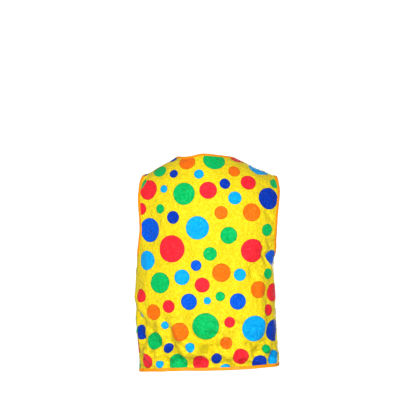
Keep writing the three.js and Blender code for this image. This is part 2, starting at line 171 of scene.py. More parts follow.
# The hem runs from the middle's height to the side's by the square of the turn's sine, with a lift
# halfway
def hemHeight(onBack, turn):
    face = np.where(onBack, figureSizes["hemBack"], figureSizes["hemFront"])
    side = np.where(turn >= 0, figureSizes["hemLeft"], figureSizes["hemRight"])
    lift = np.where(turn >= 0, figureSizes["hemLiftLeft"], figureSizes["hemLiftRight"])
    angle = np.radians(np.abs(turn))
    return lerp(face, side, np.sin(angle) ** 2) + lift * np.sin(2 * angle)


# A point of the figure: full level sections below the blades, which roll over towards the ridge
# above them. Past 90 degrees or past the ridge it lies on the other face.
def figure(onBack, turn, climb):
    onBack, turn, climb = np.broadcast_arrays(onBack, turn, climb)
    over = climb > 1
    climb = np.where(over, 2 - climb, climb)
    beyond = np.abs(turn) > 90
    turn = np.where(beyond, np.sign(turn) * (180 - np.abs(turn)), turn)
    onBack = onBack ^ over ^ beyond
    blade = figureSizes["bladeHeight"]
    across, deep = swollen(np.radians(turn), figureSizes["sectionFullness"])
    level = np.where(climb < 0, lerp(blade, hemHeight(onBack, turn), -climb),
                     lerp(blade, figureSizes["shoulderLevel"], climb))
    halfWidth = np.where(turn >= 0, curve(sections, 1, level), curve(sections, 2, level))
    fullness = np.where(turn >= 0, figureSizes["backLeft"], figureSizes["backRight"])
    backDeep = np.maximum(1 - across ** fullness, 0) ** (1 / fullness)
    depth = np.where(onBack, curve(sections, 3, level) * backDeep, -curve(sections, 4, level) * deep)
    x = halfWidth * across * np.sign(turn)
    up, out = swollen(np.clip(climb, 0, 1) * np.pi / 2, figureSizes["shoulderFullness"])
    y = lerp(figureSizes["ridgeDepth"], depth, np.where(climb > 0, out, 1))
    z = np.where(climb > 0, lerp(blade, ridgeHeight(x), up), level)
    return np.stack([x, y, z], -1)


# Vectors divided by their own lengths
def unit(vectors):
    return vectors / np.maximum(np.linalg.norm(vectors, axis=-1, keepdims=True), 1e-9)


# The figure's outward direction: square to how it changes by turn and by climb
def outward(onBack, turn, climb):
    byTurn = figure(onBack, turn + 0.4, climb) - figure(onBack, turn - 0.4, climb)
    byClimb = figure(onBack, turn, climb + 0.004) - figure(onBack, turn, climb - 0.004)
    return unit(np.cross(byTurn, byClimb)) * (-1 if onBack else 1)


# The climb of a height: even below the blades, by the roll's angle above them
def climbAt(onBack, turn, height):
    blade = figureSizes["bladeHeight"]
    below = (height - blade) / (blade - hemHeight(onBack, turn))
    x = figure(onBack, turn, 0.5)[..., 0]
    up = np.clip((height - blade) / (ridgeHeight(x) - blade), 0, 1)
    out = (1 - up ** figureSizes["shoulderFullness"]) ** (1 / figureSizes["shoulderFullness"])
    return np.where(height < blade, below, np.arctan2(up, out) * 2 / np.pi)


# Lengths along a line of points
def lengthsAlong(points):
    return np.concatenate([[0], np.cumsum(np.linalg.norm(np.diff(points, axis=0), axis=-1))])


# A line of places (turn, climb) resampled in even steps on the figure, or crowded to its start
def evenSteps(onBack, places, count, crowding=1.0):
    lengths = lengthsAlong(figure(onBack, places[:, 0], places[:, 1]))
    wanted = lengths[-1] * np.linspace(0, 1, count + 1) ** crowding
    return np.stack([np.interp(wanted, lengths, places[:, k]) for k in (0, 1)], -1)


# Grids of cloth, one for each panel
gridSizes = {
    "bodyRows": 100,
    "backArmRows": 84,
    "frontArmRows": 132,
    "neckCells": 60,
    "shoulderCells": 44,
    "armCrowding": 1.15,
    "topReach": 1.5,
    "edgeSteps": 240,
}


# The side seam's places from the hem up to the underarm, by its table of turns; the front counts
# the same turns from its own middle
def sideEdge(side, onBack):
    climb = np.linspace(-1, underarmClimb, gridSizes["bodyRows"] + 1)
    turn = curve(sideSeams, side["column"], climb)
    return np.stack([side["sign"] * (turn if onBack else 180 - turn), climb], -1)


# The shoulder seam, from the neck to the armhole: it leaves the ridge and ends down the back
def shoulderSeam(side, onBack):
    share = np.linspace(0, 1, gridSizes["edgeSteps"])
    drop = seamDrop["left" if side["sign"] > 0 else "right"]
    climb = 1 - drop * share ** seamBend
    neckTurn = curve(frontEdges, side["column"], 1.0)
    turn = side["sign"] * lerp(neckTurn, curve(armholeBack, side["column"], climb), share)
    line = np.stack([turn, climb if onBack else 2 - climb], -1)
    return evenSteps(onBack, line, gridSizes["shoulderCells"])


# The armhole's raw edge, from the underarm up to the shoulder seam
def armEdge(side, onBack):
    seamEnd = 1 - seamDrop["left" if side["sign"] > 0 else "right"]
    if onBack:
        climb = np.linspace(underarmClimb, seamEnd, 2 * gridSizes["edgeSteps"])
        turn = curve(armholeBack, side["column"], climb)
        rows = gridSizes["backArmRows"]
    else:
        climb = np.linspace(underarmClimb, 2 - seamEnd, 2 * gridSizes["edgeSteps"])
        turn = np.where(climb > 1, curve(armholeBack, side["column"], 2 - climb),
                        curve(armholeFront, side["column"], climb))
        rows = gridSizes["frontArmRows"]
    line = np.stack([side["sign"] * turn, climb], -1)
    return evenSteps(onBack, line, rows, gridSizes["armCrowding"])


# A grid of places filled in between its four edges: each pair of facing edges is blended and the
# corners' share is taken off. The top edge's shape only reaches down to the underarm.
def fillGrid(bottom, top, first, last):
    rows = len(first)
    body = gridSizes["bodyRows"]
    v = np.maximum((np.arange(rows) - body) / (rows - 1 - body), 0) ** gridSizes["topReach"]
    v = v[:, None, None]
    u = np.linspace(0, 1, len(bottom))[None, :, None]
    return ((1 - v) * bottom + v * top + (1 - u) * first[:, None] + u * last[:, None]
            - (1 - u) * (1 - v) * bottom[0] - u * (1 - v) * bottom[-1]
            - (1 - u) * v * top[0] - u * v * top[-1])


# The back's places, rows from the hem up and columns from the right to the left
def backPlaces():
    sides = {}
    for name, side in (("right", rightSide), ("left", leftSide)):
        sides[name] = np.concatenate([sideEdge(side, True), armEdge(side, True)[1:]])
    angle = np.radians(np.linspace(-90, 90, gridSizes["neckCells"] + 1))
    neck = np.stack([
        neckline["middle"] + neckline["half"] * np.sin(angle),
        1 - (1 - neckline["napeClimb"] + neckline["tilt"] * np.sin(angle)) * np.cos(angle),
    ], -1)
    top = np.concatenate([
        shoulderSeam(rightSide, True)[::-1],
        neck[1:-1],
        shoulderSeam(leftSide, True),
    ])
    turns = np.linspace(sides["right"][0, 0], sides["left"][0, 0], gridSizes["edgeSteps"])
    hem = evenSteps(True, np.stack([turns, np.full_like(turns, -1)], -1), len(top) - 1)
    return fillGrid(hem, top, sides["right"], sides["left"])


# A front's places, rows from the hem up and columns from the open edge to the side
def frontPlaces(side):
    outer = np.concatenate([sideEdge(side, False), armEdge(side, False)[1:]])
    top = shoulderSeam(side, False)
    top = evenSteps(False, top, gridSizes["shoulderCells"] + 28)
    bodyClimb = np.linspace(-1, underarmClimb, gridSizes["bodyRows"] + 1)
    upperClimb = np.linspace(underarmClimb, 1, gridSizes["edgeSteps"])
    place = [np.stack([side["sign"] * curve(frontEdges, side["column"], c), c], -1)
             for c in (bodyClimb, upperClimb)]
    upper = evenSteps(False, place[1], gridSizes["frontArmRows"])
    openEdge = np.concatenate([place[0], upper[1:]])
    turns = np.linspace(openEdge[0, 0], outer[0, 0], gridSizes["edgeSteps"])
    hem = evenSteps(False, np.stack([turns, np.full_like(turns, -1)], -1), len(top) - 1)
    return fillGrid(hem, top, openEdge, outer)


# Where places lie on the cloth when it is flat, in mm: across from the middle along a level line,
# and down from the nape's height along the grain
def flatPlaces(onBack, places):
    turns = np.arange(-112, 113, 1.0)
    climbs = np.arange(-1.0, 1.605, 0.01)
    points = figure(onBack, turns[None, :], climbs[:, None])
    acrossSteps = np.linalg.norm(np.diff(points, axis=1), axis=-1)
    riseSteps = np.linalg.norm(np.diff(points, axis=0), axis=-1)
    across = np.pad(np.cumsum(acrossSteps, axis=1), ((0, 0), (1, 0)))
    rise = np.pad(np.cumsum(riseSteps, axis=0), ((1, 0), (0, 0)))
    across -= across[:, [112]]
    rise -= rise[[100], :]
    i = np.clip((places[..., 1] + 1) / 0.01, 0, len(climbs) - 1.001)
    j = np.clip(places[..., 0] + 112, 0, len(turns) - 1.001)
    i0 = i.astype(int)
    j0 = j.astype(int)
    found = []
    for lattice in (across, rise):
        low = lerp(lattice[i0, j0], lattice[i0, j0 + 1], j - j0)
        high = lerp(lattice[i0 + 1, j0], lattice[i0 + 1, j0 + 1], j - j0)
        found.append(lerp(low, high, i - i0))
    napeRise = 215.7    # mm along the cloth from the blades up to the nape
    return found[0], napeRise - found[1]


# Folds and creases: back 1 or front 0, from turn and height to turn and height, bend, width,
# depth, pinch. A depth over 0 is a ridge, and a pinch of 1 makes it sharp with a shallow trough
# beside it. Many ends on the back were read in the photo's pixels and turned into degrees and
# heights by another script. The widths, depths and bends are chosen by hand.
folds = np.array([
    [1, 56, -485, 12, -650, 0, 20, -6, 0],
    [1, 62, -545, 36, -655, 0, 16, 5, 0],
    [1, 36, -500, -2, -640, 0, 20, 5, 0],
    [1, 18, -560, -8, -655, 0, 20, -6, 0],
    [1, -34, -530, -46, -655, 0, 18, -6, 0],
    [1, -50, -440, -38, -640, 0, 20, 5, 0],
    [1, -44, -290, -36, -405, 0, 17, -4, 0],
    [1, -66, -262, -50, -345, 0, 13, -4, 0],
    [1, 74, -330, 52, -400, 0, 22, 4, 0],
    [0, 72, -330, 44, -450, 0, 22, -5, 0],
    [0, 60, -400, 30, -560, 0, 24, 5, 0],
    [0, 70, -500, 38, -645, 0, 20, -6, 0],
    [0, -72, -330, -46, -460, 0, 22, -5, 0],
    [0, -58, -420, -28, -580, 0, 24, 5, 0],
    [0, -66, -520, -44, -645, 0, 20, -5, 0],
    [1, 78, -458, 38, -534, 3, 16, -14, 0.4],
    [1, 80, -420, 48, -486, 2, 11, 5, 0.2],
    [1, 39, -467, 25, -542, 1, 14, -10.5, 0.55],
    [1, 36, -516, 19, -610, 1, 14, -13, 0.65],
    [1, 62, -462, 34, -556, 3, 15, 8.5, 0.1],
    [1, 70, -508, 46, -596, 2, 14, -13, 0.55],
    [1, 58, -556, 48, -622, 0, 12, 9, 0.45],
    [1, 30, -500, 14, -566, 2, 14, 9, 0.35],
    [1, 8, -572, -2, -618, 0, 12, 9, 0.35],
    [1, -22, -566, -28, -616, 0, 11, -7, 0.1],
    [1, 50, -520, 38, -570, 0, 12, -10, 0.45],
    [1, 23, -555, 13, -592, 0, 7, -9, 0.65],
    [1, 37.5, -584, 32.5, -628, 0, 12, -13, 0.55],
    [1, 42.5, -578, 39.5, -606, 0, 7, 7.5, 0.55],
    [1, 22.5, -587, 17, -622, 0, 6, 7.5, 0.65],
    [1, 16, -522, -3, -568, 2, 14, -13, 0.65],
    [1, -3, -568, -12, -609, 0, 14, -13, 0.55],
    [1, 4.5, -544, -7, -567, 0, 12, -11.5, 0.45],
    [1, -7.5, -515, 1.5, -546, -1, 12, -7.5, 0.55],
    [1, -10.5, -602, -20, -622, 0, 7, -9.5, 0.45],
    [1, -31, -600, -20.5, -620, 0, 6, -7, 0.2],
    [1, -45.5, -552, -34.5, -600, 0, 15, -13, 0.3],
    [1, -32.5, -560, -35, -606, 0, 6, 6, 0.4],
    [1, -62.5, -576, -53, -624, 0, 12, -13, 0.4],
    [1, -58, -500, -50, -560, 0, 14, -5.5, 0.1],
    [1, -48, -292, -74, -322, 0, 12, -7.5, 0.3],
    [1, -47.5, -270, -60.5, -336, 1, 10, -9, 0.5],
    [1, -53, -282, -66, -345, 1, 6, 4.5, 0.4],
    [1, -51.5, -256, -62, -279, 0, 6, -5, 0.4],
    [1, -43, -254, -48.5, -277, 0, 5, -4, 0.4],
    [1, -35.5, -326, -41, -368, 1, 10, -5.5, 0.2],
    [1, -46, -165, -56, -203, 1, 10, -5.5, 0.3],
    [1, -54.5, -405, -54, -452, 0, 12, -3, 0],
    [1, -55.5, -470, -54.5, -520, 0, 12, -3, 0],
    [1, 14, -362, -3, -336, 1, 5, -2.5, 0.5],
    [1, -2, -338, -8, -316, 0, 5, -2, 0.5],
    [1, 76, -383, 50, -384, 1, 5, -3, 0.5],
    [1, 41, -388, 30, -378, 0, 5, -2.5, 0.4],
    [1, 66, -369, 37, -376, 1, 5, -2.5, 0.4],
    [1, 18.5, -250, 15, -272, 0, 5, -2.5, 0.4],
    [1, 29, -604, -20, -603, 1, 14, -10, 0.25],
    [1, 62, -226, 44, -262, 1, 15, -5, 0.1],
    [1, -30, -215, 2, -236, 2, 14, -2.5, 0],
    [1, 34, -146, 8, -170, 2, 15, -2.5, 0],
    [0, 84, -300, 58, -372, 2, 12, -9, 0.5],
    [0, 78, -352, 50, -398, 2, 14, 5.5, 0.3],
    [0, 66, -254, 50, -330, 1, 12, -6, 0.4],
    [0, 86, -452, 46, -520, 2, 14, -9.5, 0.4],
    [0, 40, -540, 24, -610, 0, 12, -7.5, 0.4],
    [0, 56, -566, 46, -628, 0, 12, -9, 0.3],
    [0, 20, -396, 12, -470, 0, 15, -5.5, 0.1],
    [0, 28, -280, 16, -360, 1, 12, -4, 0],
    [0, 46, -130, 34, -190, 0, 14, -5.5, 0.3],
    [0, -82, -310, -56, -376, -2, 12, -9, 0.5],
    [0, -76, -360, -46, -410, -2, 14, 5.5, 0.3],
    [0, -64, -250, -50, -322, -1, 12, -6, 0.4],
    [0, -84, -470, -44, -530, -2, 14, -9.5, 0.4],
    [0, -38, -552, -22, -616, 0, 12, -7.5, 0.4],
    [0, -58, -570, -50, -624, 0, 12, -9, 0.3],
    [0, -18, -420, -12, -500, 0, 15, -5.5, 0.1],
    [0, -26, -290, -15, -372, -1, 12, -4, 0],
    [0, -44, -128, -34, -186, 0, 14, -5.5, 0.3],
    [1, 64, -588, -60, -586, 0, 19, 12, 0],
], float)
foldSteps = 8
foldShape = {
    "tip": 0.18,            # how rounded a pinched fold's top stays, in its widths
    "pointed": 0.8,         # how far a pinch takes the bell from round to pointed
    "trough": 0.35,         # share of the depth, then its place and its width, in the fold's widths
    "troughAt": 1.7,
    "troughWide": 0.7,
    "softEnd": 0.12,        # a soft fold starts this far into the fade, so its ends stay blunt
}


# How far points lie from a line of short pieces, which side of it they are on, and how far along
def besideLine(points, normals, line):
    starts = line[:-1]
    spans = np.diff(line, axis=0)
    offset = points[:, None] - starts
    share = np.clip((offset * spans).sum(-1) / (spans ** 2).sum(-1), 0, 1)
    gap = offset - share[..., None] * spans
    distance = np.linalg.norm(gap, axis=-1)
    nearest = distance.argmin(1)
    pick = (np.arange(len(points)), nearest)
    side = np.sign((np.cross(spans[nearest], normals) * gap[pick]).sum(-1))
    return distance[pick] * side, (nearest + share[pick]) / len(spans)


# Each fold is a short line on the figure. A point rises by a bell over its distance from the line,
# more pointed by the pinch and with a trough beside it, which fades towards the line's ends.
def foldRise(points, normals):
    rise = np.zeros(len(points))
    share = np.linspace(0, 1, foldSteps + 1)
    for onBack, turnA, heightA, turnB, heightB, bend, width, depth, pinch in folds:
        turn = lerp(turnA, turnB, share) + bend * 4 * share * (1 - share)
        height = lerp(heightA, heightB, share)
        line = figure(onBack > 0, turn, climbAt(onBack > 0, turn, height))
        near = np.abs(points - line.mean(0)).max(-1) < np.ptp(line, axis=0).max() / 2 + 4 * width + 20
        if not near.any():
            continue
        distance, along = besideLine(points[near], normals[near], line)
        q = distance / width
        sharp = foldShape["tip"] * pinch
        power = 2 - foldShape["pointed"] * pinch
        bell = np.exp(sharp ** power - (q ** 2 + sharp ** 2) ** (power / 2))
        beside = (q - foldShape["troughAt"]) / foldShape["troughWide"]
        bell -= foldShape["trough"] * pinch * np.exp(-beside ** 2)
        start = foldShape["softEnd"] * (1 - pinch)
        rise[near] += depth * bell * np.sin(np.pi * lerp(start, 1 - start, along))
    return rise


# Slack is long and soft, crinkle is short and left by handling. The sizes are mm, and a stretch
# under 1 makes the waves longer down the cloth than across it.
slackSizes = {"waves": 26, "long": 120, "short": 38, "depth": 5.2, "stretch": 0.45}
crinkleSizes = {"waves": 44, "long": 44, "short": 18, "depth": 1.4, "stretch": 0.7}

# The lower cloth is crinkled more and the yoke less
handling = {"from": -430, "over": 130, "more": 2.0, "yokeFrom": -230, "yoke": 0.6}
calmEdge = {"share": 0.25, "reach": 24}    # what is left of both at a taped edge


# Waves of random length, way and shift, each with a share by its length
def drawWaves(sizes):
    lengths = randomDraws.uniform(sizes["short"], sizes["long"], sizes["waves"])
    ways = unit(randomDraws.normal(size=(sizes["waves"], 3)))
    return {
        "byPlace": ways * (2 * np.pi / lengths)[:, None],
        "shift": randomDraws.uniform(0, 2 * np.pi, sizes["waves"]),
        "share": lengths / sizes["long"],
    }


slackWaves = drawWaves(slackSizes)
crinkleWaves = drawWaves(crinkleSizes)


# Waves of many sizes and ways are added up, and the sum's size is taken, which leaves soft hollows
# between narrower ridges
def crumpleRise(points, sizes, waves):
    stretched = points * [1, 1, sizes["stretch"]]
    phase = stretched @ waves["byPlace"].T + waves["shift"]
    total = (np.sin(phase) * waves["share"]).sum(-1) / np.sqrt(sizes["waves"])
    rounding = 0.02    # keeps the ridges' tops from being sharp
    level = 0.35       # taken off so that the cloth stays near its form
    return -sizes["depth"] * (np.sqrt(total ** 2 + rounding) - level)


# The least distance from points to a line of points, and how far along it that is
def fromEdge(points, edge):
    lengths = lengthsAlong(edge)
    distance = np.empty(len(points))
    along = np.empty(len(points))
    for start in range(0, len(points), 4000):
        part = points[start:start + 4000]
        square = ((part[:, None] - edge[None]) ** 2).sum(-1)
        nearest = square.argmin(1)
        distance[start:start + 4000] = np.sqrt(square.min(1))
        along[start:start + 4000] = lengths[nearest]
    return distance, along


# The print, in cm on the flat cloth: across from the middle of the back to the wearer's left, down
# from the nape, radius. Each place was read in the photo's pixels, carried onto the flat cloth
# through the camera by another script, and rounded.
spotColours = {
    "red": "#fa3040",
    "green": "#00c068",
    "sky": "#00b0fa",
    "blue": "#0064e0",
    "navy": "#0640b8",
    "orange": "#fd7c12",
}
spots = [
    ("navy", 11.75, -0.6, 1.7), ("orange", 6.75, 2.75, 2.6), ("green", -1.6, 2, 3.4),
    ("red", -9, -1.2, 2.3), ("sky", -16.5, 1.8, 3.9), ("navy", 20.5, 4.25, 1.9),
    ("green", 16, 5, 2.3), ("navy", 11, 6.6, 1.4), ("sky", 3, 7, 1.5),
    ("orange", -7.8, 5.5, 1.85), ("green", -21.25, 9, 1.9), ("green", 22.25, 9.75, 2.2),
    ("red", 19.6, 11.6, 3.2), ("sky", 14, 11.5, 1.2), ("green", 7.5, 13, 3.35),
    ("red", 0.25, 12, 2.6), ("navy", -4.75, 9.9, 1.65), ("red", -12, 9.25, 2.4),
    ("sky", -7.6, 14.25, 2), ("navy", -18.25, 14.25, 3.4), ("green", 15, 17.5, 1.4),
    ("red", 22, 17.5, 1.8), ("orange", -3.5, 18.6, 1.95), ("orange", -12.5, 18.5, 2.65),
    ("navy", 10.75, 20, 1.9), ("sky", 3.4, 23, 3.4), ("green", -5.75, 25.25, 2.5),
    ("green", -17.5, 23.7, 1.85), ("blue", 19, 23.8, 3.6), ("red", 11.2, 29.2, 4),
    ("red", -12.8, 29.75, 3.5), ("green", -0.3, 30.6, 2), ("sky", 19.8, 32.8, 2.9),
    ("blue", -20.8, 32.2, 2.3), ("blue", 3.8, 34, 1.6), ("orange", -3.6, 36.1, 2.7),
    ("sky", -9, 36.75, 1.8), ("green", -18.25, 36.75, 1.6), ("green", 14.9, 39.25, 3.1),
    ("sky", 8, 37.5, 2.3), ("red", 2, 39.7, 2.2), ("orange", -14.8, 41.25, 2.5),
    ("red", -20.75, 42.4, 2.7), ("red", 21.75, 43.3, 2), ("blue", 5.9, 44.6, 2.4),
    ("sky", 0.5, 44.25, 1.1), ("green", -3.25, 43, 1.4), ("blue", -8.4, 44.5, 2.4),
    ("red", 12.1, 46.1, 1.9), ("red", -18.4, 47.4, 1.7), ("orange", 17.25, 48, 2.35),
    ("sky", 22.5, 49, 1), ("green", 1, 51.7, 3.9), ("red", -6, 50.5, 1.6),
    ("sky", -13.4, 52.5, 3.75), ("navy", -20.75, 53.5, 3.2), ("sky", 13.6, 51.7, 1.15),
    ("orange", 8.7, 53.4, 2.7), ("navy", 22.75, 54.3, 2.2), ("green", 17, 56.4, 2.5),
    ("green", -17.25, 58.7, 1.35), ("navy", 12.4, 58.3, 1.4), ("sky", 5.5, 57.8, 1.4),
    ("orange", -5, 56.5, 1.8), ("green", 24, 59.75, 1.3), ("sky", -20.25, 61.5, 2.3),
    ("red", 19.5, 62.4, 2.3), ("sky", 15, 63.2, 1.15), ("green", 9.25, 62.75, 2.9),
    ("red", 2.4, 62.3, 2.4), ("navy", -2.2, 61, 1.6), ("red", -9.2, 60.5, 2.35),
    ("navy", -15, 62.75, 2.4), ("sky", -4.75, 64.5, 1.8),
]
printRepeat = {"across": 2, "down": 50.5, "from": 15}    # cm; the fronts repeat the chart from that row


# An sRGB hex value turned linear
def linear(hexColour):
    srgb = np.array([int(hexColour[i:i + 2], 16) for i in (1, 3, 5)]) / 255
    return np.where(srgb <= 0.04045, srgb / 12.92, ((srgb + 0.055) / 1.055) ** 2.4)


# The spots that a panel gets: the chart as it is, or its repeat moved to where the panel was cut
def spotTable(shift):
    rows = [(a, d, r, *linear(spotColours[name])) for name, a, d, r in spots]
    chart = np.array(rows)
    if shift is None:
        return chart
    fromRow = printRepeat["from"]
    chart = chart[(chart[:, 1] > fromRow) & (chart[:, 1] < fromRow + printRepeat["down"])]
    moved = []
    for turn in range(-3, 3):
        copy = chart.copy()
        copy[:, 0] += turn * printRepeat["across"] - shift[0]
        copy[:, 1] += turn * printRepeat["down"] - shift[1]
        moved.append(copy)
    return np.concatenate(moved)


# Cloth pieces
clothSizes = {
    "wall": 0.7,            # mm, satin drawn thicker than it is so that its edge holds
    "seamValley": 1.5,
    "seamWidth": 3.4,
    "pucker": 0.55,
    "puckerReach": 13,
    "puckerStep": 13,
    "puckerStart": 6,       # mm from the edge, inside which the stitches hold the cloth flat
    "armLift": 2.2,         # the tape's pull turns the back's armhole edges out a little
    "armReach": 11,
}


# Puckers run square to an edge: two waves along it that fade with the distance from it
def puckerRise(distance, along, step, reach):
    wave = np.sin(2 * np.pi * along / step) + 0.6 * np.sin(2 * np.pi * along / (step * 1.63) + 1.2)
    begun = 1 - np.exp(-(distance / clothSizes["puckerStart"]) ** 2)
    return clothSizes["pucker"] * wave * begun * np.exp(-distance / reach)


# One panel of cloth: the figure's points moved along its outward direction by a sum. Crinkle and
# slack come first, more low down, less at the yoke and calmed at taped edges, then folds,
# puckers, the lift at the armholes and the valleys at the seams.
def makePanel(onBack, places, tapedEdges, seamEdges, armEdges):
    shape = places.shape[:2]
    turn = places[..., 0].ravel()
    climb = places[..., 1].ravel()
    points = figure(onBack, turn, climb)
    normals = outward(onBack, turn, climb)
    grid = points.reshape(*shape, 3)
    low = np.clip((handling["from"] - points[:, 2]) / handling["over"], 0, 1)
    rise = crumpleRise(points, crinkleSizes, crinkleWaves) * lerp(1, handling["more"], low)
    rise += crumpleRise(points, slackSizes, slackWaves)
    high = np.clip((points[:, 2] - handling["yokeFrom"]) / handling["over"], 0, 1)
    rise *= lerp(1, handling["yoke"], high)
    for edge in tapedEdges:
        distance = fromEdge(points, edge(grid))[0]
        rise *= 1 - (1 - calmEdge["share"]) * np.exp(-(distance / calmEdge["reach"]) ** 2)
    rise += foldRise(points, normals)
    for edge in tapedEdges:
        distance, along = fromEdge(points, edge(grid))
        rise += puckerRise(distance, along, clothSizes["puckerStep"], clothSizes["puckerReach"])
    for edge in armEdges:
        distance = fromEdge(points, edge(grid))[0]
        rise += clothSizes["armLift"] * np.exp(-(distance / clothSizes["armReach"]) ** 2)
    for edge in seamEdges:
        distance, along = fromEdge(points, edge(grid))
        rise += 0.7 * puckerRise(distance, along, 11, 9)
        rise -= clothSizes["seamValley"] * np.exp(-(distance / clothSizes["seamWidth"]) ** 2)
    points = points + normals * rise[:, None]
    grid = points.reshape(*shape, 3)
    across, down = flatPlaces(onBack, places)
    byColumn = np.gradient(grid, axis=1)
    byRow = np.gradient(grid, axis=0)
    facing = unit(np.cross(byColumn, byRow))
    flip = np.sign((facing * normals.reshape(*shape, 3)).sum(-1).mean())
    return {"grid": grid, "normals": facing * flip, "flip": flip, "across": across, "down": down}


# A mesh object from points in mm and quads
def makeObject(name, points, faces, materials):
    mesh = bpy.data.meshes.new(name)
    mesh.from_pydata((points * mm).tolist(), [], faces.tolist())
    mesh.polygons.foreach_set("use_smooth", np.ones(len(faces), bool))
    for material in materials:
        mesh.materials.append(material)
    mesh.validate()
    mesh.update()
    piece = bpy.data.objects.new(name, mesh)
    bpy.context.scene.collection.objects.link(piece)
    return piece


# Quads between neighbouring rows and columns of a grid; closed joins the last to the first
def gridFaces(rows, columns, closedRows=False, closedColumns=False):
    i = np.arange(rows if closedRows else rows - 1)[:, None]
    j = np.arange(columns if closedColumns else columns - 1)[None, :]
    iNext = (i + 1) % rows
    jNext = (j + 1) % columns
    corners = [i * columns + j, i * columns + jNext, iNext * columns + jNext, iNext * columns + j]
    return np.stack(np.broadcast_arrays(*corners), -1).reshape(-1, 4)


# Stores a value or a vector for each point, under a name that the materials read
def addAttribute(mesh, name, kind, field, values):
    attribute = mesh.attributes.new(name, kind, "POINT")
    attribute.data.foreach_set(field, values.astype(np.float32).ravel())


# A panel as a mesh. Each point stores how far it is from the nearest spot's edge, which is the
# distance to its centre less its radius, that spot's colour, and its own flat place.
def clothPiece(name, panel, shift, materials):
    faces = gridFaces(*panel["grid"].shape[:2])
    if panel["flip"] < 0:
        faces = faces[:, ::-1]
    piece = makeObject(name, panel["grid"].reshape(-1, 3), faces, materials)
    across = panel["across"].ravel() / cm
    down = panel["down"].ravel() / cm
    table = spotTable(shift)
    distance = np.hypot(across[:, None] - table[:, 0], down[:, None] - table[:, 1]) - table[:, 2]
    nearest = distance.argmin(1)
    addAttribute(piece.data, "spotEdge", "FLOAT", "value", distance.min(1) * cm)
    addAttribute(piece.data, "spotColour", "FLOAT_VECTOR", "vector", table[nearest, 3:6])
    flat = np.stack([across, down, np.zeros_like(across)], -1) * cm
    addAttribute(piece.data, "flatPlace", "FLOAT_VECTOR", "vector", flat)
    wall = piece.modifiers.new("wall", "SOLIDIFY")
    wall.thickness = clothSizes["wall"] * mm
    wall.offset = -1
    wall.material_offset = 1
    return piece


# The materials
# A new one with its nodes on
def newMaterial(name):
    material = bpy.data.materials.new(name)
    material.use_nodes = True
    return material


# Adds a node, sets it and links what is given as a socket
def addNode(owner, kind, settings, inputs):
    tree = owner.node_tree
    node = tree.nodes.new(kind)
    for name, value in settings.items():
        setattr(node, name, value)
    for name, value in inputs.items():
        if isinstance(value, bpy.types.NodeSocket):
            tree.links.new(value, node.inputs[name])
        else:
            node.inputs[name].default_value = value
    return node


satinSizes = {
    "yellow": "#f4db20",
    "wrongYellow": "#f3e27c",
    "roughness": 0.31,
    "specular": 0.85,
    "ownTint": 0.87,        # how much of the sheen takes the colour of the dyed threads
    "threadStep": 1.6,      # mm; real satin floats are 0.1 mm apart, drawn coarser to show
    "threadLength": 40,
    "mottle": 11,           # mm, the size of the soft dents that handling leaves
    "brush": 5,             # mm, the size of the marks where the threads are brushed
    "highlightLong": 16,       # mm, the size of the painted highlights: pale strokes where handled threads catch the light
    "highlightWide": 5,
    "shadePatchLong": 46,        # mm, the size of the patches of painted shade, deeper colour for the shadows of small folds
    "shadePatchWide": 24,
    "shadeHigh": 0.04,      # how far the painted shade darkens the colour, high up and near the hem
    "shadeLow": 0.3,
    "shadeFrom": 440.0,     # mm down from the nape, where the painted shade grows deeper, and where that ends
    "shadeFull": 620.0,
    "printBlur": 0.35,      # mm, half the width over which a spot's edge fades
    "rimWide": 2.4,         # mm, over which a spot's rim lightens towards its middle
    "printLost": 0.45,      # how much of the print the wrong side loses
    "rimDark": 0.5,         # a spot's rim is darker where its ink gathers over the yellow
    "highlightWhite": 0.025,   # how far the painted highlights pale the colour towards white
}
